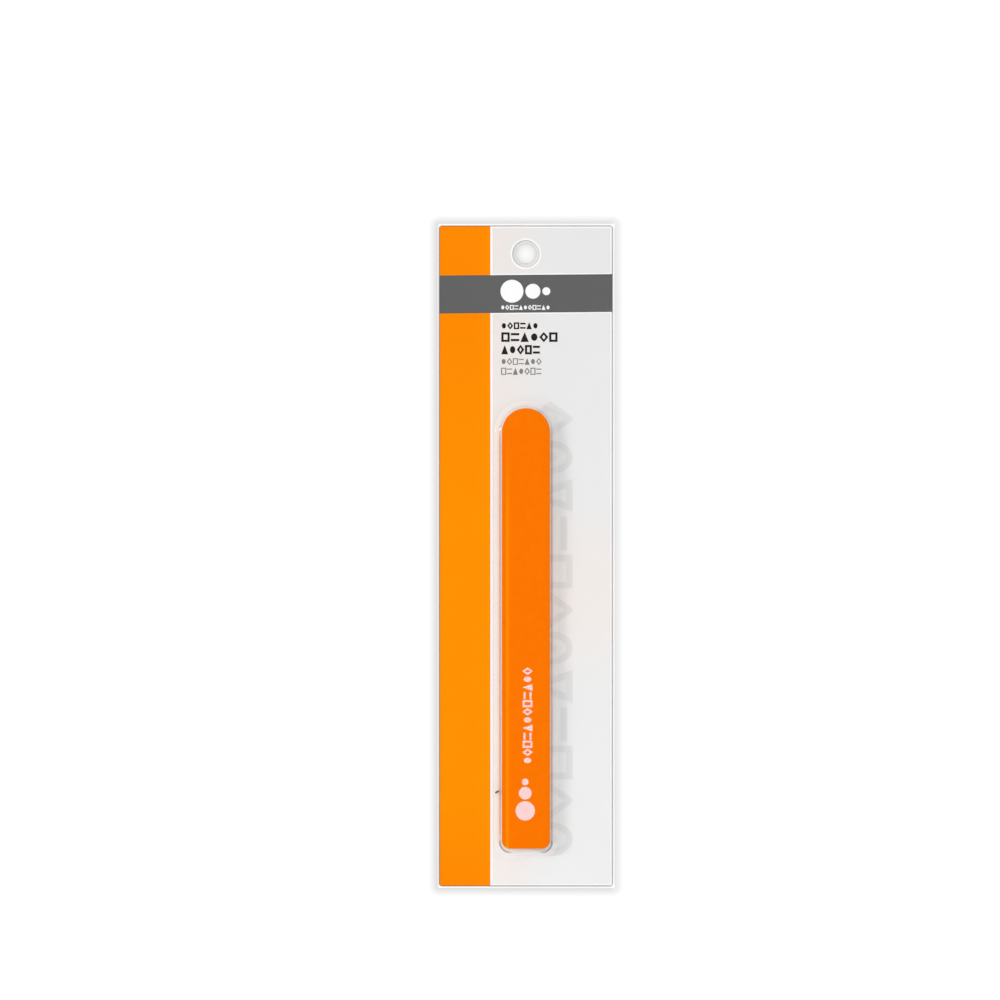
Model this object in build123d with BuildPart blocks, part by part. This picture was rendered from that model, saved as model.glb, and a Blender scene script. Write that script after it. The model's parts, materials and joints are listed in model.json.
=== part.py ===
from build123d import *

import os
from math import atan, degrees

# Carded sanding stick: a layered foam board held on a printed card under a clear formed sheet.
# The pack lies on its back. The origin is the middle of the card's back face, +X runs across
# the card, +Y along it towards the hang hole, and +Z out of its printed face.

# Backing card, which the clear sheet covers edge to edge
card_width = 71.0
card_length = 270.5
card_thickness = 0.5
card_corner = 1.0
card_hole_radius = 5.6

# Clear formed sheet: a flat flange, a pocket for the stick, and its own smaller hang hole
sheet = 0.3
peel_y = 98.0  # the sheet bends here when it is peeled, and above this line it stays sealed
hang_hole_radius = 4.0
hang_hole_y = 123.7
pocket_height = 4.9  # from the card's face to the outside of the pocket's roof
pocket_flare = 2.0  # how much further out the walls stand at the card than at the roof
pocket_edge_radius = 1.1

# The stick: one end a half circle, the other square with rounded corners
stick_width = 19.6
stick_length = 180.0
stick_low_y = -119.6
corner_radius = 3.2

# Its layers, from the middle outwards, each present on both faces
core_thickness = 0.8
layers = (
    ("inner_adhesive", 0.1),
    ("foam_pad", 1.0),
    ("outer_adhesive", 0.1),
    ("backing_paper", 0.25),
    ("grain_coat", 0.15),
)

# Room between the stick and the outside of the pocket's roof edge
side_room = 0.9
low_end_room = 1.6
high_end_room = 0.8

stick_high_y = stick_low_y + stick_length
stick_thickness = core_thickness + 2 * sum(thickness for _, thickness in layers)
stick_middle = card_thickness + stick_thickness / 2
card_front = Plane.XY.offset(card_thickness)
half_length = card_length / 2

# The pocket's foot on the card, from which its walls lean in to the roof
foot_margin = side_room + pocket_flare
foot_width = stick_width + 2 * foot_margin
foot_low_y = stick_low_y - low_end_room - pocket_flare
foot_high_y = stick_high_y + high_end_room + pocket_flare
foot_corner = corner_radius + foot_margin
lean = degrees(atan(pocket_flare / pocket_height))


def tongue(width, low_y, high_y, corner):
    """Outline that is half round at its high end and square with rounded corners at its low end."""
    end_radius = width / 2
    with Locations((0, low_y)):
        Rectangle(width, high_y - end_radius - low_y, align=(Align.CENTER, Align.MIN))
    with Locations((0, high_y - end_radius)):
        Circle(end_radius)
    fillet(vertices().group_by(Axis.Y)[0], corner)


def pocket_block(inset, height, edge_radius):
    """The pocket's shape as a block whose foot stands inset inside the sheet's outer face."""
    with BuildPart() as block:
        with BuildSketch(card_front):
            tongue(foot_width - 2 * inset, foot_low_y + inset, foot_high_y - inset, foot_corner - inset)
        extrude(amount=height, taper=lean)
        fillet(block.faces().sort_by(Axis.Z)[-1].edges(), edge_radius)
    return block.part


def stick_layer(start, thickness):
    """One layer of the stick, from height start upwards, or downwards if thickness is negative."""
    with BuildPart() as layer:
        with BuildSketch(Plane.XY.offset(start)):
            tongue(stick_width, stick_low_y, stick_high_y, corner_radius)
        extrude(amount=thickness)
    return layer


def save(piece, name):
    piece.part.label = name
    export_step(piece.part, f"parts/{name}.step")


os.makedirs("parts", exist_ok=True)

# Printed card with its large hang hole
with BuildPart() as backing_card:
    with BuildSketch():
        RectangleRounded(card_width, card_length, card_corner)
        with Locations((0, hang_hole_y)):
            Circle(card_hole_radius, mode=Mode.SUBTRACT)
    extrude(amount=card_thickness)
save(backing_card, "backing_card")

# The top of the clear sheet, which stays sealed to the card and carries the hang hole
with BuildPart() as blister_header:
    with BuildSketch(card_front):
        with Locations((0, peel_y)):
            Rectangle(card_width, half_length - peel_y, align=(Align.CENTER, Align.MIN))
        fillet(vertices().group_by(Axis.Y)[-1], card_corner)
        with Locations((0, hang_hole_y)):
            Circle(hang_hole_radius, mode=Mode.SUBTRACT)
    extrude(amount=sheet)
save(blister_header, "blister_header")

# The rest of the clear sheet, which peels: the flange with the pocket standing out of it
pocket_outside = pocket_block(0, pocket_height, pocket_edge_radius)
pocket_inside = pocket_block(sheet, pocket_height - sheet, pocket_edge_radius - sheet)
with BuildPart() as blister_pocket:
    with BuildSketch(card_front):
        with Locations((0, peel_y)):
            Rectangle(card_width, peel_y + half_length, align=(Align.CENTER, Align.MAX))
        fillet(vertices().group_by(Axis.Y)[0], card_corner)
    extrude(amount=sheet)
    add(pocket_outside)
    add(pocket_inside, mode=Mode.SUBTRACT)
save(blister_pocket, "blister_pocket")

# The stiff strip in the middle of the stick
save(stick_layer(stick_middle - core_thickness / 2, core_thickness), "core_strip")

# The layers bonded to each face of the strip
for side, outwards in (("front", 1), ("rear", -1)):
    height = stick_middle + outwards * core_thickness / 2
    for layer_name, thickness in layers:
        save(stick_layer(height, outwards * thickness), f"{side}_{layer_name}")
        height += outwards * thickness
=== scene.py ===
import json
import math

import bmesh
import bpy
import numpy as np
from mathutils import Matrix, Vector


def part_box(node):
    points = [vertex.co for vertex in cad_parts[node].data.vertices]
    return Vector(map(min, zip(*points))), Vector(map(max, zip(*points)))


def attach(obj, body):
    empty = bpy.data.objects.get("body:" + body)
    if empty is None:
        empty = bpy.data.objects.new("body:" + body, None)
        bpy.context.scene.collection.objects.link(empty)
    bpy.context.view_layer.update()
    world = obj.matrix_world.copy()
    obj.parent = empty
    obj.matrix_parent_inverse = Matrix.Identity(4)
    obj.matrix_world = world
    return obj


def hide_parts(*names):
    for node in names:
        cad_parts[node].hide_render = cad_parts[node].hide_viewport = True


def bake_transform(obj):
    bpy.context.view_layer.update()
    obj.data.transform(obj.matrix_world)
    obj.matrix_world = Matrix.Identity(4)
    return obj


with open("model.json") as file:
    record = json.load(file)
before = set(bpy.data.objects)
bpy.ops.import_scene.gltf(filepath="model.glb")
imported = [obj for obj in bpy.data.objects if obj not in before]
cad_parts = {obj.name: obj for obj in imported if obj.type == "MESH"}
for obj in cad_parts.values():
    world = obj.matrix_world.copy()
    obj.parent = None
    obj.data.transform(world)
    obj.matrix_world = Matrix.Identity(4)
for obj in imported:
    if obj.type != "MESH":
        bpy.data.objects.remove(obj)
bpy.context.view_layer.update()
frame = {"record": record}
mm = 0.001
mounts = {mount["name"]: mount for mount in frame["record"]["mounts"]}
cardLow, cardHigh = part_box("backing_card")
headerLow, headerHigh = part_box("blister_header")
pocketLow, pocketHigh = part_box("blister_pocket")
stickLow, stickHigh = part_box("front_grain_coat")
peelLine = headerLow.y
hangHole = np.array(mounts["hang_hole"]["pos_m"][:2])
sheetHole = mounts["hang_hole"]["dims"]["r_mm"] * mm
cardHole = mounts["card_hole"]["dims"]["r_mm"] * mm
print("frame loaded, card", [round(v / mm, 2) for v in cardHigh - cardLow])


# A grid of points, rows by columns, becomes quads. A closed direction wraps round to its start.
def gridQuads(rows, columns, wrapColumns=False, first=0):
    r = np.arange(rows - 1)[:, None]
    c = np.arange(columns if wrapColumns else columns - 1)[None, :]
    cNext = (c + 1) % columns
    corners = (r * columns + c, r * columns + cNext, (r + 1) * columns + cNext, (r + 1) * columns + c)
    return np.stack(corners, axis=-1).reshape(-1, 4) + first


# Points and quads become one object, with doubles merged and only real corners left sharp.
def makePiece(name, points, quads, closed=True):
    mesh = bpy.data.meshes.new(name)
    mesh.vertices.add(len(points))
    mesh.vertices.foreach_set("co", points.astype(np.float32).ravel())
    mesh.loops.add(quads.size)
    mesh.loops.foreach_set("vertex_index", quads.astype(np.int32).ravel())
    mesh.polygons.add(len(quads))
    mesh.polygons.foreach_set("loop_start", np.arange(len(quads), dtype=np.int32) * 4)
    mesh.update(calc_edges=True)
    work = bmesh.new()
    work.from_mesh(mesh)
    bmesh.ops.remove_doubles(work, verts=work.verts, dist=1e-7)
    bmesh.ops.dissolve_degenerate(work, edges=work.edges, dist=1e-8)
    if closed:
        bmesh.ops.recalc_face_normals(work, faces=work.faces)
    work.to_mesh(mesh)
    work.free()
    piece = bpy.data.objects.new(name, mesh)
    bpy.context.scene.collection.objects.link(piece)
    smoothPiece(piece)
    return piece


def smoothPiece(piece, sharpAngle=38.0):
    mesh = piece.data
    mesh.polygons.foreach_set("use_smooth", np.ones(len(mesh.polygons), bool))
    mesh.set_sharp_from_angle(angle=math.radians(sharpAngle))
    mesh.update()


# Modifiers become part of the mesh.
def settle(piece):
    bpy.context.view_layer.update()
    evaluated = piece.evaluated_get(bpy.context.evaluated_depsgraph_get())
    mesh = bpy.data.meshes.new_from_object(evaluated)
    piece.modifiers.clear()
    piece.data = mesh
    smoothPiece(piece)
    return piece


# Points along an arc, centre + radius * (cos, sin), and their outward directions. The last is left out.
def arc(centre, radius, start, end, steps):
    angle = np.radians(np.linspace(start, end, steps, endpoint=False))
    ray = np.stack([np.cos(angle), np.sin(angle)], axis=1)
    return np.array(centre) + radius * ray, ray


# Points along a straight line with one outward direction. The last is left out.
def run(start, end, steps, facing=(0, 0)):
    share = np.linspace(0, 1, steps, endpoint=False)[:, None]
    return np.array(start) + share * (np.array(end) - np.array(start)), np.tile(facing, (steps, 1))


def chain(*parts):
    return tuple(np.concatenate(column) for column in zip(*parts))


# A tongue's outline, anticlockwise from its low left corner: low side, corner arc, long side,
# half circle in three sweeps, long side, corner arc. Returns points and outward directions.
def tongueLoop(half, lowY, highY, corner, counts, sweep=60.0):
    low, bend, side, flank, crown = counts
    headY = highY - half
    return chain(
        run((-half + corner, lowY), (half - corner, lowY), low, (0, -1)),
        arc((half - corner, lowY + corner), corner, -90, 0, bend),
        run((half, lowY + corner), (half, headY), side, (1, 0)),
        arc((0, headY), half, 0, sweep, flank),
        arc((0, headY), half, sweep, 180 - sweep, crown),
        arc((0, headY), half, 180 - sweep, 180, flank),
        run((-half, headY), (-half, lowY + corner), side, (-1, 0)),
        arc((-half + corner, lowY + corner), corner, 180, 270, bend),
    )


# A profile carried round a loop: each ring is spine + share * (loop + facing * offset - spine),
# where the spine is the middle line that the tongue's two ends fan out from.
def carried(loop, facing, share, offset, height):
    share, offset, height = (np.asarray(v, float).reshape(len(share), -1, 1) for v in (share, offset, height))
    half = loop[:, 0].max()
    middle = np.clip(loop[:, 1], loop[:, 1].min() + half, loop[:, 1].max() - half)
    spine = np.stack([np.zeros(len(loop)), middle], axis=1)
    flat = spine + share * (loop + facing * offset - spine)
    return np.concatenate([flat, np.broadcast_to(height, (*flat.shape[:2], 1))], axis=2)


# A line through corners with each inner corner rounded by its own radius: the arc starts and ends
# radius * tan(turn / 2) away from the corner, and is swept evenly between.
def roundedLine(corners, radii, steps):
    corners = np.array(corners, float)
    share = np.linspace(0, 1, steps)[:, None]
    out = [corners[:1]]
    for before, corner, after, radius in zip(corners, corners[1:], corners[2:], radii):
        inward = (before - corner) / np.linalg.norm(before - corner)
        outward = (after - corner) / np.linalg.norm(after - corner)
        turn = math.pi - math.acos(float(inward @ outward))
        bisector = (inward + outward) / np.linalg.norm(inward + outward)
        middle = corner + bisector * radius / math.cos(turn / 2)
        reach = radius * math.tan(turn / 2)
        first, last = corner + inward * reach - middle, corner + outward * reach - middle
        swept = np.sin((1 - share) * turn) * first + np.sin(share * turn) * last
        out.append(middle + swept / math.sin(turn))
    out.append(corners[-1:])
    return np.concatenate(out)


def maths(operation, swapped=False):
    def act(self, other=0.0):
        pair = (other, self) if swapped else (self, other)
        return self.bench.add("ShaderNodeMath", {"operation": operation}, pair)
    return act


# A socket that sums, products and comparisons can be written with. Each one adds a Math node.
class Wire:
    def __init__(self, bench, socket):
        self.bench, self.socket = bench, socket

    __add__ = __radd__ = maths("ADD")
    __mul__ = __rmul__ = maths("MULTIPLY")
    __sub__, __rsub__ = maths("SUBTRACT"), maths("SUBTRACT", True)
    __truediv__, __rtruediv__ = maths("DIVIDE"), maths("DIVIDE", True)
    __mod__, __pow__ = maths("FLOORED_MODULO"), maths("POWER")
    __lt__, __gt__ = maths("LESS_THAN"), maths("GREATER_THAN")
    __abs__, least, most = maths("ABSOLUTE"), maths("MINIMUM"), maths("MAXIMUM")
    floor, root = maths("FLOOR"), maths("SQRT")


# One node tree being built. add() makes any node: its settings first, then its sockets.
class Bench:
    def __init__(self, owner, space="Object", attribute=None):
        owner.use_nodes = True
        self.owner, self.tree = owner, owner.node_tree
        self.tree.nodes.clear()
        if attribute:
            self.place = self.add("ShaderNodeAttribute", {"attribute_name": attribute}, {}, "Vector")
        else:
            self.place = self.add("ShaderNodeTexCoord", {}, {}, space)
        self.x, self.y, self.z = (self.add("ShaderNodeSeparateXYZ", {}, [self.place], i) for i in range(3))

    def add(self, kind, settings, values, take=0):
        node = self.tree.nodes.new(kind)
        for key, value in settings.items():
            setattr(node, key, value)
        for key, value in values.items() if isinstance(values, dict) else enumerate(values):
            if isinstance(value, Wire):
                self.tree.links.new(value.socket, node.inputs[key])
            else:
                node.inputs[key].default_value = value
        return Wire(self, node.outputs[take]) if len(node.outputs) else node

    # 0 at low, 1 at high, straight between and held beyond
    def rise(self, value, low, high):
        return self.add("ShaderNodeMapRange", {}, [value, low, high, 0.0, 1.0])

    # 1 from low to high, with both edges as wide as soft
    def between(self, value, low, high, soft=0.04 * mm):
        return self.rise(value, low - soft, low + soft) * self.rise(value, high + soft, high - soft)

    # colour a where mask is 0, b where it is 1
    def mix(self, mask, a, b):
        return self.add("ShaderNodeMix", {"data_type": "RGBA"}, {0: mask, 6: a, 7: b}, 2)

    # the colour times a number
    def dim(self, colour, amount):
        vector = colour if isinstance(colour, Wire) else colour[:3]
        return self.add("ShaderNodeVectorMath", {"operation": "SCALE"}, {0: vector, 3: amount})

    # noise with cells 1 / scale metres across
    def noise(self, scale, detail=2.0, roughness=0.5, stretch=(1, 1, 1)):
        place = self.add("ShaderNodeMapping", {}, {"Vector": self.place, "Scale": stretch})
        values = {"Vector": place, "Scale": scale, "Detail": detail, "Roughness": roughness}
        return self.add("ShaderNodeTexNoise", {}, values)

    def bump(self, height, distance, strength=1.0):
        return self.add("ShaderNodeBump", {}, {"Height": height, "Distance": distance, "Strength": strength})

    def principled(self, values):
        return self.add("ShaderNodeBsdfPrincipled", {}, values)

    def finish(self, shader, output="ShaderNodeOutputMaterial"):
        self.add(output, {}, {"Surface": shader})
        return self.owner


def newBench(name, attribute=None):
    return Bench(bpy.data.materials.new(name), attribute=attribute)


studio = {
    "light": 1.12,  # how much brighter than 1 a white surface is lit
    "brightest": 0.96,  # the lightest surface colour that is used
    "skyBase": 0.77,
    "skyExtra": 0.73,
    "skyRise": (0.55, 0.75),  # heights on a unit dome between which the extra light comes in
    "zenithGap": (0.985, 0.96),  # heights between which it goes out again
    "sunShare": 0.19,  # the lamp's part of the light on a level surface
    "sunHeight": 31.0,
    "sunTurn": 8.0,
    "sunSize": 9.0,
}


# Display values from 0 to 255 as the surface colour that shows them under the studio's light, by
# the usual display curve.
def ink(red, green, blue):
    channels = np.array([red, green, blue]) / 255
    linear = np.where(channels < 0.04045, channels / 12.92, ((channels + 0.055) / 1.055) ** 2.4)
    return (*(float(v) for v in np.minimum(linear / studio["light"], studio["brightest"])), 1.0)


# The clear sheet is one formed film: a flat flange as large as the card, with the hang hole,
# and a pocket that rises round the stick.
sheet = {
    "thickness": 0.26 * mm,
    "sideRoom": 0.9 * mm,
    "lowRoom": 1.6 * mm,
    "highRoom": 0.8 * mm,
    "flare": 2.0 * mm,
    "footReach": 0.9 * mm,  # how far outside the pocket's foot its wall's profile starts
    "baseBend": 0.6 * mm,
    "roofBend": 1.1 * mm,
    "roofEdge": 3.4 * mm,
    "pocketCorner": 6.1 * mm,
    "sheetCorner": 1.0 * mm,
    "bendLength": 30.0 * mm,
    "loopPoints": (22, 10, 110, 18, 30),  # low side, corner, long side, flank, peel line
    "headerPoints": (12, 8),  # short side, corner
    "flangeRings": 18,
    "bendRings": 8,
    "roofRings": 12,
    "holeRings": 12,
}

# How the film looks: its clear tint, a painted shade tint and a warm tint of painted reflection, where each
# one shows, its one dark spot, and its ripple and shine.
film = {
    "clear": (0.995, 0.995, 0.995, 1),
    "shadeTint": (0.68, 0.67, 0.66, 1),
    "warm": (0.85, 0.735, 0.675, 1),
    "cutWidth": 0.32 * mm,
    "cutShade": 0.7,
    "holeCutWidth": 0.4 * mm,
    "holeCutShade": 0.2,
    "bendLine": (0.35 * mm, 1.15 * mm, 0.15 * mm),  # how far outside the stick, and how soft
    "bendShade": 0.12,
    "cornerShade": 0.85,
    "cornerAcross": (5.5 * mm, 8.0 * mm),
    "cornerTop": (4.6 * mm, 2.6 * mm),  # above the stick's low end
    "stickReflectionShare": 0.75,
    "sideLow": (2.6 * mm, 6.6 * mm),  # above the stick's low end
    "sideHigh": (6.4 * mm, 14.4 * mm),  # below the stick's high end
    # A small dark spot on one wall, drawn in its own dark ink.
    "darkSpotAt": (-11.8 * mm, -96.5 * mm),
    "darkSpotAlong": (0.8, 0.6),
    "darkSpotSlimness": 7,
    "darkSpotSize": (1.2 * mm * mm, 0.8 * mm * mm),
    "darkSpotInk": ink(44, 26, 20),
    "rippleScale": 140,
    "rippleDepth": 0.25 * mm,
    "mirrorFaced": 0.04,
    "mirrorSlant": 0.75,
}


# Flange and pocket: rings run from the sheet's cut edge to the pocket's foot, up its wall and over
# the roof to the middle line. The pocket's foot and the cut edge have matching points.
def pocketRings():
    s = sheet
    margin = s["sideRoom"] + s["flare"]
    half = stickHigh.x + margin
    lowY, highY = stickLow.y - s["lowRoom"] - s["flare"], stickHigh.y + s["highRoom"] + s["flare"]
    wide, corner, edgeY, headY = headerHigh.x, s["sheetCorner"], pocketLow.y, highY - half
    low, bend, side, flank, crown = s["loopPoints"]
    sweep = math.degrees(math.atan2(peelLine - headY, wide))
    loop, facing = tongueLoop(half, lowY, highY, s["pocketCorner"], s["loopPoints"], sweep)
    border = chain(
        run((-wide + corner, edgeY), (wide - corner, edgeY), low),
        arc((wide - corner, edgeY + corner), corner, -90, 0, bend),
        run((wide, edgeY + corner), (wide, headY), side),
        run((wide, headY), (wide, peelLine), flank),
        run((wide, peelLine), (-wide, peelLine), crown),
        run((-wide, peelLine), (-wide, headY), flank),
        run((-wide, headY), (-wide, edgeY + corner), side),
        arc((-wide + corner, edgeY + corner), corner, 180, 270, bend),
    )[0]
    base, roofZ, edge = headerHigh.z, pocketHigh.z, s["roofEdge"]
    footShift = s["flare"] * (base - cardHigh.z) / (roofZ - cardHigh.z)
    corners = [(s["footReach"], base), (-footShift, base), (-s["flare"], roofZ), (-edge, roofZ)]
    wall = roundedLine(corners, [s["baseBend"], s["roofBend"]], s["bendRings"])
    share = np.linspace(0, 1, s["flangeRings"], endpoint=False)[:, None, None]
    flat = (1 - share) * border + share * (loop + facing * wall[0, 0])
    flange = np.concatenate([flat, np.full((*flat.shape[:2], 1), base)], axis=2)
    step = carried(loop, facing, np.ones(len(wall)), wall[:, 0], wall[:, 1])
    inner = np.linspace(1, 0, s["roofRings"] + 1)[1:]
    roof = carried(loop, facing, inner, np.full(len(inner), -edge), np.full(len(inner), roofZ))
    return np.concatenate([flange, step, roof])


# The header: rings run from the cut edge in to the hang hole, along rays from its centre.
def headerRings():
    wide, base, high, corner = headerHigh.x, headerHigh.z, headerHigh.y, sheet["sheetCorner"]
    across, (up, bend) = sheet["loopPoints"][-1], sheet["headerPoints"]
    border = chain(
        run((-wide, peelLine), (wide, peelLine), across),
        run((wide, peelLine), (wide, high - corner), up),
        arc((wide - corner, high - corner), corner, 0, 90, bend),
        run((wide - corner, high), (-wide + corner, high), 2 * across),
        arc((-wide + corner, high - corner), corner, 90, 180, bend),
        run((-wide, high - corner), (-wide, peelLine), up),
    )[0]
    ray = border - hangHole
    hole = hangHole + ray / np.linalg.norm(ray, axis=1)[:, None] * sheetHole
    share = np.linspace(0, 1, sheet["holeRings"])[:, None, None]
    flat = (1 - share) * border + share * hole
    return np.concatenate([flat, np.full((*flat.shape[:2], 1), base)], axis=2)


# The pocket's rings and the header's rings meet at the peel line and become one sheet, thickened
# inwards. Each point's place is kept before the sheet bends, for its material.
def makeClearSheet():
    pocket, header = pocketRings(), headerRings()
    points = np.concatenate([pocket.reshape(-1, 3), header.reshape(-1, 3)])
    pocketQuads = gridQuads(*pocket.shape[:2], wrapColumns=True)
    headerQuads = gridQuads(*header.shape[:2], wrapColumns=True, first=pocket.shape[0] * pocket.shape[1])
    piece = makePiece("clear_film", points, np.concatenate([pocketQuads, headerQuads]), closed=False)
    wall = piece.modifiers.new("wall", "SOLIDIFY")
    wall.thickness, wall.offset, wall.use_even_offset = sheet["thickness"], -1, True
    settle(piece)
    flat = np.empty(len(piece.data.vertices) * 3, np.float32)
    piece.data.vertices.foreach_get("co", flat)
    piece.data.attributes.new("flatPlace", "FLOAT_VECTOR", "POINT").data.foreach_set("vector", flat)
    piece.data.materials.append(clearFilm())
    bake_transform(piece)
    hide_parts("blister_header", "blister_pocket")
    return piece


# Clear film: see-through when faced, with a mirror share that grows with the slant. A painted shade
# tint makes dark lines along its cut edges and the hang hole's edge. The bend between the pocket's
# walls and roof shows a painted shade line, greyer round the low corners and warm beside the stick,
# where the tint is a painted reflection of the stick's orange side. One wall has a small dark spot.
# The pattern reads each point's place on the unpeeled sheet, so it stays put when the sheet bends.
def clearFilm():
    f, b = film, newBench("clearFilm", "flatPlace")
    tints = (f["clear"], f["shadeTint"], f["warm"])
    clear, shadeTint, warm = (b.add("ShaderNodeBsdfTransparent", {}, {"Color": tint}) for tint in tints)
    # Painted shade: dark lines along the sheet's cut edges and the hang hole's edge.
    toCut = (headerHigh.x - abs(b.x)).least(headerHigh.y - abs(b.y))
    cut = b.rise(toCut, f["cutWidth"], f["cutWidth"] * 0.5) * f["cutShade"]
    pastHole = fromHole(b, sheetHole) - f["holeCutWidth"]
    holeCut = b.rise(pastHole, 0.1 * mm, -0.1 * mm) * f["holeCutShade"]
    # Painted shade along the pocket's roof bend, deepest round its low corners.
    bent = b.between(fromTongue(b), *f["bendLine"])
    aboveLow, belowHigh = b.y - stickLow.y, stickHigh.y - b.y
    atCorner = b.rise(abs(b.x), *f["cornerAcross"]) * b.rise(aboveLow, *f["cornerTop"])
    alongSide = b.rise(aboveLow, *f["sideLow"]) * b.rise(belowHigh, *f["sideHigh"])
    shadeMask = cut.most(holeCut).most(bent * (atCorner * f["cornerShade"] + f["bendShade"]))
    body = b.add("ShaderNodeMixShader", {}, [shadeMask, clear, shadeTint])
    # Warm tint beside the stick: painted reflection of its orange side, with painted shade of the gap.
    body = b.add("ShaderNodeMixShader", {}, [bent * alongSide * f["stickReflectionShare"], body, warm])
    # The small dark spot on one wall.
    darkSpot = b.principled({"Base Color": f["darkSpotInk"], "Roughness": 0.6})
    body = b.add("ShaderNodeMixShader", {}, [darkSpotMask(b), body, darkSpot])
    ripple = b.bump(b.noise(f["rippleScale"], 2, stretch=(1, 0.5, 1)), f["rippleDepth"], 0.5)
    mirror = b.principled({"Base Color": (1, 1, 1, 1), "Metallic": 1.0, "Roughness": 0.06, "Normal": ripple})
    slant = b.add("ShaderNodeLayerWeight", {}, {"Blend": 0.5}, "Facing")
    share = slant ** 4.0 * f["mirrorSlant"] + f["mirrorFaced"]
    return b.finish(b.add("ShaderNodeMixShader", {}, [share, body, mirror]))


# A slim ellipse: along^2 + slimness * across^2 is smaller inside it than outside.
def darkSpotMask(b):
    dx, dy = b.x - film["darkSpotAt"][0], b.y - film["darkSpotAt"][1]
    cosine, sine = film["darkSpotAlong"]
    along, across = dx * cosine + dy * sine, dy * cosine - dx * sine
    return b.rise(along * along + across * across * film["darkSpotSlimness"], *film["darkSpotSize"])


# How far outside the stick's outline a point is, with the low end moved out to the room it has there
def fromTongue(b):
    half, corner = stickHigh.x, stick["corner"]
    lowY, headY = stickLow.y - sheet["lowRoom"] + sheet["sideRoom"], stickHigh.y - half
    overX, overY = (abs(b.x) - (half - corner)).most(0.0), (lowY + corner - b.y).most(0.0)
    headOver = (b.y - headY).most(0.0)
    low = (overX * overX + overY * overY).root() - corner
    return low.most((b.x * b.x + headOver * headOver).root() - half)


# How far outside the hang hole's circle of this radius a point is
def fromHole(b, radius):
    dx, dy = b.x - float(hangHole[0]), b.y - float(hangHole[1])
    return (dx * dx + dy * dy).root() - radius


# Rows of small geometric marks stand where a pack has type. Each row is left, right, low and high in
# millimetres, and its number of marks. A mark is a disc, square, triangle, diamond or pair of bars,
# and stroke is how thick its line is against the row's height. A mark's size and place come from the
# row that the point is in, so all rows share one set of shapes.
def markRows(b, u, v, rows, stroke, solid=True):
    dx, dy, halfWide, halfHigh, kind, inside = (0.0,) * 6
    for index, (left, right, low, high, count) in enumerate(rows):
        here = b.between(u, left * mm, right * mm) * b.between(v, low * mm, high * mm)
        pitch, height = (right - left) * mm / count, (high - low) * mm
        cell = (u - left * mm) / pitch
        dx = here * (cell % 1.0 - 0.5) * pitch + dx
        dy = here * (v - (low + high) / 2 * mm) + dy
        halfWide = here * (pitch * 0.44) + halfWide  # the rest of the pitch is the gap between marks
        halfHigh = here * (height * 0.5) + halfHigh
        kind = here * ((cell.floor() * 3 + index) % 5.0) + kind  # steps of 3 go through all five kinds
        inside = here + inside
    line = halfHigh * (2 * stroke)
    wide, high = abs(dx), abs(dy)
    p, q = wide / halfWide, high / halfHigh  # 1 at the mark's outer edge
    pIn, qIn = wide / (halfWide - line), high / (halfHigh - line)  # 1 at its line's inner edge
    ring, ringIn = (p * p + q * q).root(), (pIn * pIn + qIn * qIn).root()
    slope = p + (dy / halfHigh + 1) * 0.5  # 1 on a triangle's slanting sides
    disc = (ring < 1) * (ring < 0.75 if solid else (ringIn > 1) + (ring < 0.3))
    triangle = (slope < 1) if solid else (slope < 1) * ((slope > 0.58) + (dy + halfHigh < line)).least(1.0)
    square = (p.most(q) < 1) * (pIn.most(qIn) > 1)
    diamond = (p + q < 1.08) * (pIn + qIn > 0.9)
    bars = (p < 1) * (abs(high - halfHigh * 0.6) < line * 0.5)
    found = 0.0
    for number, shape in enumerate((disc, square, triangle, diamond, bars)):
        found = (abs(kind - number) < 0.5) * shape + found
    return found * (inside > 0.99)


# Three discs that shrink from coarse to fine along u, between left and right in millimetres.
def gritMark(b, u, v, left, right, middle):
    sizes = (0.46, 0.3, 0.16)  # diameters as shares of the mark's length
    gap = (1 - sum(sizes)) / 2
    found, at = 0.0, left
    for size in sizes:
        radius = size * (right - left) / 2
        du, dv = u - (at + radius) * mm, v - middle * mm
        found = ((du * du + dv * dv).root() < radius * mm) + found
        at += 2 * radius + gap * (right - left)
    return found


card = {
    "stripeWidth": 20.95 * mm,
    "keyline": 0.9 * mm,
    "bandHigh": 115.1 * mm,
    "bandLow": 99.6 * mm,
    "bandSlope": 0.009,
    "bandTrim": 0.5 * mm,
    "margin": 0.9 * mm,
    "holeMargin": 0.7 * mm,
    "edgeWearAndShade": (0.42 * mm, 0.2 * mm),
    "stripe": ink(255, 142, 0),
    "stripeLight": ink(255, 151, 0),
    "band": ink(104, 104, 105),
    "paper": ink(240, 240, 240),
    "warm": ink(246, 238, 234),
    "wearAndShadeInk": ink(136, 134, 132),
    "brightWhite": ink(253, 253, 253),
    "darkInk": ink(42, 40, 41),
    "greyInk": ink(138, 132, 131),
    "board": ink(214, 208, 198),
    "warmAcross": (10 * mm, -14 * mm),
    "warmAlong": (-40 * mm, 10 * mm, 14 * mm),
    "paperShade": (140 * mm, -140 * mm),
    "stripeGlowHigh": (110 * mm, 15 * mm),
    "stripeGlowLow": (-135 * mm, -100 * mm),
    "stripeGlowInside": (14 * mm, 20 * mm),
    "gritMark": (-10.4, 10.0, 108.4),
    "bandRow": [(-10.4, 10.0, 100.7, 102.8, 11)],
    "boldRows": [(-10.3, 5.2, 92.8, 95.7, 6), (-10.3, 13.2, 87.6, 91.6, 6), (-10.3, 5.9, 82.5, 86.4, 5)],
    "thinRows": [(-10.3, 6.5, 78.2, 81.0, 7), (-10.3, 6.5, 74.1, 77.1, 7)],
    "largeRow": [(-123.7, 63.9, -19.2, -1.0, 12)],
}
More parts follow.
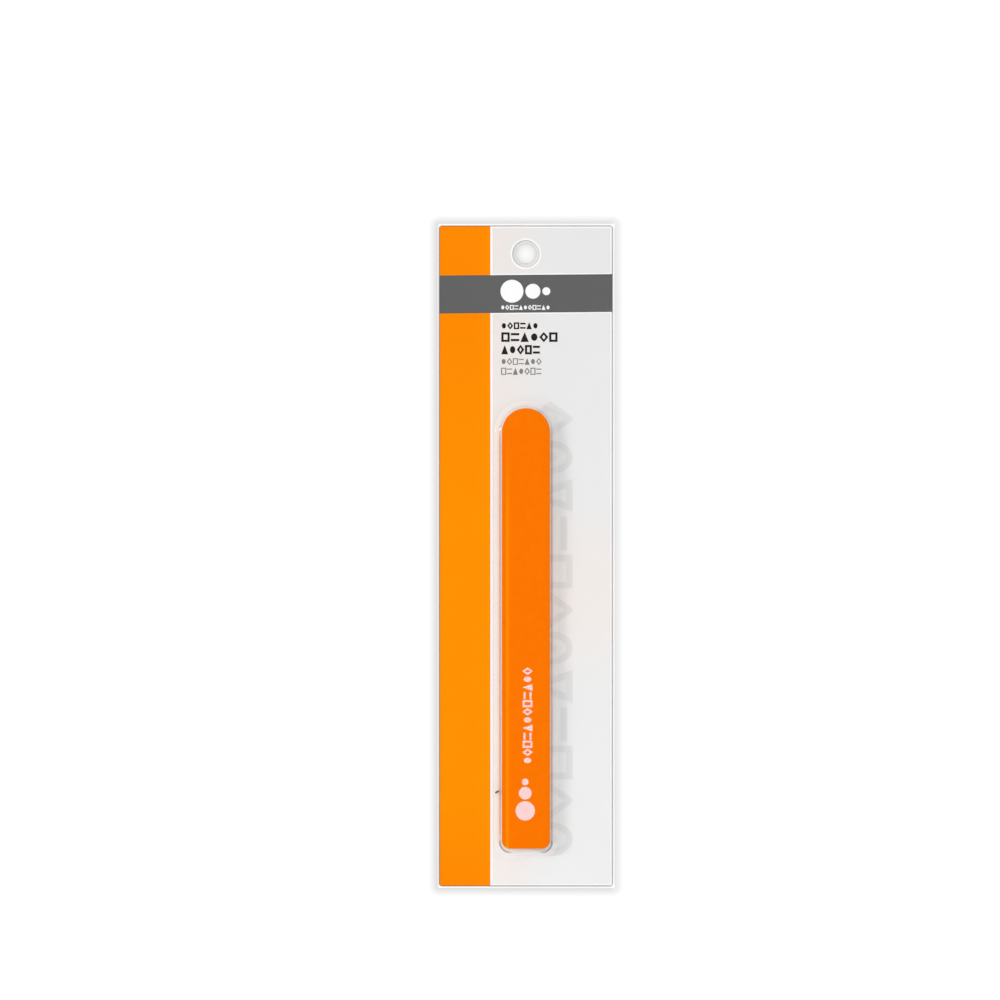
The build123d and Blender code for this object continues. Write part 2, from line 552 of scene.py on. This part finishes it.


# Printed card: a white paper with rows of marks, an orange stripe down its left and a grey band across
# its head. Along its cut edges and round the hang hole runs a lighter margin, unprinted and brightened
# as a painted highlight, and at the outer cut edges a dark line of painted edge shade with some wear.
# Its sides and back are plain grey board.
def printedCard():
    c, b = card, newBench("printedCard")
    fromLeft = b.x - cardLow.x
    fromEdge = (cardHigh.x - b.x).least(cardHigh.y - abs(b.y))
    inStripe = b.rise(fromLeft, c["stripeWidth"] + 0.05 * mm, c["stripeWidth"] - 0.05 * mm)
    # Lighter margin along the cut edges and round the hang hole: unprinted paper, brightened as a painted
    # highlight of the edge.
    toBrightMargin = fromEdge.least(fromHole(b, cardHole) - (c["holeMargin"] - c["margin"]))
    brightWhite = b.rise(toBrightMargin, c["margin"] + 0.1 * mm, c["margin"] - 0.1 * mm)
    face = b.mix(inStripe, b.mix(brightWhite, cardPaper(b, fromLeft), c["brightWhite"]), cardStripe(b, fromLeft))
    face = cardBand(b, face, inStripe)
    # Dark line at the outer cut edges: painted shade of the edge, with some wear.
    wearAndShade = b.rise(fromEdge.least(fromLeft), *c["edgeWearAndShade"])
    face = b.mix(wearAndShade * (1 - inStripe * 0.4) * 0.62, face, c["wearAndShadeInk"])
    fibre = b.noise(900, 4, 0.7, (1, 1, 6))
    board = b.dim(c["board"], fibre * 0.3 + 0.8)
    onFace = b.rise(b.z, cardHigh.z - 0.06 * mm, cardHigh.z - 0.02 * mm)
    colour = b.mix(onFace, board, face)
    relief = b.bump(b.noise(700, 4, 0.6), 0.02 * mm, 0.5)
    rough = 0.85 - onFace * 0.4
    values = {"Base Color": colour, "Roughness": rough, "Specular IOR Level": 0.02, "Normal": relief}
    return b.finish(b.principled(values))


# White paper, warmer towards the stripe and beside the stick's middle and a little darker towards
# the head, with its rows of marks and a bare line along the stripe.
def cardPaper(b, fromLeft):
    c = card
    warmth = b.rise(b.x, *c["warmAcross"]).most(b.between(b.y, *c["warmAlong"]) * 0.7)
    paper = b.mix(warmth, c["paper"], c["warm"])
    paper = b.dim(paper, b.rise(b.y, *c["paperShade"]) * 0.07 + b.noise(28, 3) * 0.02 + 0.93)
    paper = b.dim(paper, 1 - markRows(b, b.y, -1 * b.x, c["largeRow"], 0.15, solid=False) * 0.1)
    paper = b.mix(markRows(b, b.x, b.y, c["boldRows"], 0.23), paper, c["darkInk"])
    paper = b.mix(markRows(b, b.x, b.y, c["thinRows"], 0.15), paper, c["greyInk"])
    keyline = b.between(fromLeft, c["stripeWidth"], c["stripeWidth"] + c["keyline"], 0.15 * mm)
    return b.mix(keyline, paper, c["brightWhite"])


# Orange ink, lighter along the card's middle and towards the stripe's inner edge
def cardStripe(b, fromLeft):
    c = card
    glow = b.rise(b.y, *c["stripeGlowHigh"]) * b.rise(b.y, *c["stripeGlowLow"]) * 0.85
    glow = glow + b.rise(fromLeft, *c["stripeGlowInside"]) * 0.3
    return b.dim(b.mix(glow, c["stripe"], c["stripeLight"]), b.noise(60, 2) * 0.03 + 0.985)


# The band lies over paper and stripe alike, a little off square and darker at its two edges. A bare
# line follows it on the paper, and its marks are bare too.
def cardBand(b, face, inStripe):
    c = card
    level = b.y - b.x * c["bandSlope"]
    inwards = (level - c["bandLow"]).least(c["bandHigh"] - level)
    band = b.dim(c["band"], b.noise(90, 3) * 0.08 + 0.96)
    band = b.dim(band, b.rise(inwards, 0.1 * mm, 0.7 * mm) * 0.16 + 0.84)
    face = b.mix(b.rise(inwards, -0.04 * mm, 0.04 * mm), face, band)
    face = b.mix(b.between(inwards, -c["bandTrim"], 0.0) * (1 - inStripe), face, c["brightWhite"])
    white = gritMark(b, b.x, b.y, *c["gritMark"]) + markRows(b, b.x, b.y, c["bandRow"], 0.2)
    return b.mix(white, face, c["brightWhite"])


stick = {
    "corner": 3.2 * mm,
    "orange": ink(255, 144, 0),
    "deep": ink(255, 98, 0),
    "highlightInk": ink(255, 158, 0),
    "print": ink(255, 238, 242),
    "foam": ink(224, 172, 148),
    "poreShade": ink(156, 108, 88),
    "core": ink(236, 236, 230),
    "paper": ink(214, 178, 138),
    "glue": ink(236, 222, 190),
    "grit": 0.16 * mm,
    "foamCell": 0.35 * mm,
    # Painted highlight band down the stick's left, and where it ends:
    "paintedHighlight": (-8.05 * mm, -7.1 * mm, 0.5 * mm),
    "paintedHighlightTop": (8.4 * mm, 40.4 * mm),  # below the stick's high end
    "gritMark": (-108.1, -90.9, 0.3),
    "markRow": [(-85.2, -45.4, -2.7, 1.4, 12)],
    "outlinePoints": (36, 8, 300, 24, 24),  # low side, corner, long side, flank, crown
    "pinch": 0.16 * mm,  # how far the foam's cut side is pressed in at its middle
    "openCells": 0.05 * mm,  # how rough its cells make it
    "inset": 0.02 * mm,
}


# Abrasive coat: orange resin full of fine grit, with slightly deeper colour between the grains and
# a painted highlight: a lighter band down its left where light gathers through the pocket's bend.
# The front carries a white mark and a row of marks along the stick.
def abrasiveCoat(name, printed):
    s, b = stick, newBench(name)
    grain = b.add("ShaderNodeTexVoronoi", {}, {"Vector": b.place, "Scale": 1 / s["grit"]})
    clumps = b.noise(420, 3, 0.6)
    colour = b.mix(grain * 0.7 + clumps * 0.25, s["orange"], s["deep"])
    # Painted highlight: a lighter band down the stick's left.
    paintedHighlight = b.between(b.x, *s["paintedHighlight"]) * b.rise(stickHigh.y - b.y, *s["paintedHighlightTop"])
    colour = b.mix(paintedHighlight * 0.8, colour, s["highlightInk"])
    if printed:
        across = -1 * b.x
        white = gritMark(b, b.y, across, *s["gritMark"]) + markRows(b, b.y, across, s["markRow"], 0.2)
        top = b.rise(b.z, stickHigh.z - 0.05 * mm, stickHigh.z - 0.02 * mm)
        missed = b.rise(grain, 0.75, 0.6)
        colour = b.mix(white * top * missed, colour, s["print"])
    relief = b.bump(grain + clumps, 0.08 * mm, 0.7)
    values = {"Base Color": colour, "Roughness": 0.75, "Specular IOR Level": 0.02, "Normal": relief}
    return b.finish(b.principled(values))


# Foam: fine open cells, with painted shade darkening the pit inside each cell.
def foamCells():
    b = newBench("foamCells")
    cells = b.add("ShaderNodeTexVoronoi", {}, {"Vector": b.place, "Scale": 1 / stick["foamCell"]})
    # Painted shade in each cell's pit.
    colour = b.mix(b.rise(cells, 0.55, 0.1), stick["foam"], stick["poreShade"])
    relief = b.bump(cells, 0.15 * mm, 0.8)
    return b.finish(b.principled({"Base Color": colour, "Roughness": 0.9, "Normal": relief}))


# A layer of one material with faint mottle and fine tooth.
def plainLayer(name, colour, scale, roughness, depth):
    b = newBench(name)
    mottle = b.noise(scale, 3, 0.6, (1, 1, 4))
    shade = b.dim(colour, mottle * 0.24 + 0.88)
    relief = b.bump(b.noise(scale * 4, 3), depth, 0.6)
    return b.finish(b.principled({"Base Color": shade, "Roughness": roughness, "Normal": relief}))


# A foam pad: the stick's outline carried from its lower to its upper skin. Its cut side is pressed in
# by pinch * sin(pi * height) ^ 0.8 and roughened by its cells.
def makeFoamPad(node, seed):
    s = stick
    low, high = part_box(node)
    loop, facing = tongueLoop(stickHigh.x, stickLow.y, stickHigh.y, s["corner"], s["outlinePoints"])
    random = np.random.default_rng(seed)
    height = np.linspace(0, 1, 9)
    swell = np.sin(np.pi * height)[:, None]
    dent = -s["inset"] - s["pinch"] * swell ** 0.8
    cells = -s["openCells"] * random.random((len(height), len(loop))) * swell
    side = carried(loop, facing, np.ones(len(height)), dent + cells, low.z + (high.z - low.z) * height)
    skin = np.linspace(0, 1, 5)[:-1]
    inset = np.full(len(skin), -s["inset"])
    lower = carried(loop, facing, skin, inset, np.full(len(skin), low.z))
    upper = carried(loop, facing, skin[::-1], inset, np.full(len(skin), high.z))
    rings = np.concatenate([lower, side, upper])
    quads = gridQuads(*rings.shape[:2], wrapColumns=True)
    piece = makePiece(node.replace("foam_pad", "foam"), rings.reshape(-1, 3), quads)
    piece.data.materials.append(foamMaterial)
    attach(piece, "stick")
    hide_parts(node)
    return piece


def dress(node, material):
    mesh = bpy.data.objects[node].data
    mesh.materials.clear()
    mesh.materials.append(material)


makeClearSheet()
print("clear sheet made")

foamMaterial = foamCells()
for seed, side in enumerate(("front", "rear")):
    makeFoamPad(f"{side}_foam_pad", seed)
print("foam pads made")

dress("backing_card", printedCard())
dress("front_grain_coat", abrasiveCoat("frontGrit", True))
dress("rear_grain_coat", abrasiveCoat("rearGrit", False))
dress("core_strip", plainLayer("coreStrip", stick["core"], 500, 0.45, 0.02 * mm))
backing = plainLayer("backingPaper", stick["paper"], 1500, 0.85, 0.03 * mm)
glue = plainLayer("glueFilm", stick["glue"], 800, 0.35, 0.02 * mm)
for side in ("front", "rear"):
    dress(f"{side}_backing_paper", backing)
    dress(f"{side}_inner_adhesive", glue)
    dress(f"{side}_outer_adhesive", glue)
print("materials made")

floor = {
    "size": 8.0,
    "white": (0.83, 0.83, 0.83, 1),
    "shadeReach": 6.0 * mm,
    "shadeStart": 0.9 * mm,
    "rim": (0.65 * mm, 0.95 * mm),  # the light strip round the card ends between these
    "shadeDepth": 0.33,
    "rimShadeOnLeft": 0.6,
    "rimLightOnRight": 0.16,
    # Painted shade on the floor seen through the hang hole:
    "holeShadeBase": 0.12,
    "holeShadeDish": 0.3,
    "holeShadeRim": 0.2,
}


# White floor with a painted contact shade round the card: deepest just past a painted light strip
# beside the card, and gone within a few millimetres. The lamp stands on the left, so the card's own
# shadow makes up for part of it on the right, where the strip is painted lighter still. In the hang
# hole painted shade deepens towards the rim.
def makeFloor():
    f, b = floor, newBench("whiteFloor")
    overX = (abs(b.x) - cardHigh.x).most(0.0)
    overY = (abs(b.y) - cardHigh.y).most(0.0)
    away = (overX * overX + overY * overY).root()
    onLeft = b.rise(b.x, cardLow.x, cardLow.x - 0.1 * mm)
    onRight = b.rise(b.x, cardHigh.x, cardHigh.x + 0.1 * mm)
    pastRim = b.rise(away, *f["rim"])
    shade = b.rise(away, f["shadeReach"], f["shadeStart"]) ** 1.4 * f["shadeDepth"]
    shade = shade * pastRim.most(onLeft * f["rimShadeOnLeft"])
    inShadow = b.rise(b.x, cardHigh.x, cardHigh.x + 0.3 * mm) * b.rise(away, 3 * mm, 1 * mm) * 0.3
    # Painted light on the strip beside the card's right edge.
    light = onRight * (1 - pastRim) * f["rimLightOnRight"]
    # Painted shade on the floor seen through the hang hole, deepest near its rim.
    reach = fromHole(b, cardHole) / cardHole + 1  # 0 at the hole's middle, 1 at the card's cut edge
    seen = b.rise(fromHole(b, sheetHole), 0.1 * mm, -0.1 * mm)
    holeShadeRise = seen * (reach * reach * f["holeShadeDish"] - 0.02)
    holeShade = b.rise(reach, 1.02, 0.98) * (f["holeShadeBase"] + holeShadeRise + b.rise(reach, 0.93, 0.97) * f["holeShadeRim"])
    colour = b.dim(f["white"], 1 - shade * (1 - inShadow) - holeShade + light)
    half = f["size"] / 2
    corners = np.array([(-half, -half, 0), (half, -half, 0), (half, half, 0), (-half, half, 0)])
    plane = makePiece("floor", corners, np.array([[0, 1, 2, 3]]), closed=False)
    plane.location.z = cardLow.z - 0.02 * mm
    plane.data.materials.append(b.finish(b.principled({"Base Color": colour, "Roughness": 0.9})))


# A bright sky high up with a dark gap round the zenith, dimmer towards the floor, and one low lamp on
# the left with a soft edge.
def lightStudio():
    world = bpy.data.worlds.new("studio")
    bpy.context.scene.world = world
    s, b = studio, Bench(world, "Generated")
    strength = b.rise(b.z, *s["skyRise"]) * s["skyExtra"] + s["skyBase"]
    strength = strength * b.rise(b.z, *s["zenithGap"])
    sky = b.add("ShaderNodeBackground", {}, {"Color": (1, 1, 1, 1), "Strength": strength})
    b.finish(sky, "ShaderNodeOutputWorld")
    lamp = bpy.data.lights.new("keyLight", "SUN")
    lamp.energy = s["sunShare"] * math.pi / math.sin(math.radians(s["sunHeight"]))
    lamp.angle = math.radians(s["sunSize"])
    sun = bpy.data.objects.new("keyLight", lamp)
    sun.rotation_euler = (0, -math.radians(90 - s["sunHeight"]), -math.radians(s["sunTurn"]))
    bpy.context.scene.collection.objects.link(sun)


# The camera looks straight down. Width is what it sees at the card's face.
camera = {"width": 409.5 * mm, "lens": 170.0, "centreX": -10.6 * mm, "centreY": 22.9 * mm}


def makeCamera():
    c = camera
    data = bpy.data.cameras.new("camera")
    data.lens = c["lens"]
    data.clip_end = 50
    eye = bpy.data.objects.new("camera", data)
    height = c["width"] * c["lens"] / data.sensor_width
    eye.location = (c["centreX"], c["centreY"], cardHigh.z + height)
    bpy.context.scene.collection.objects.link(eye)
    bpy.context.scene.camera = eye


makeFloor()
lightStudio()
makeCamera()
bpy.context.scene.view_settings.view_transform = "Standard"
print("studio made")
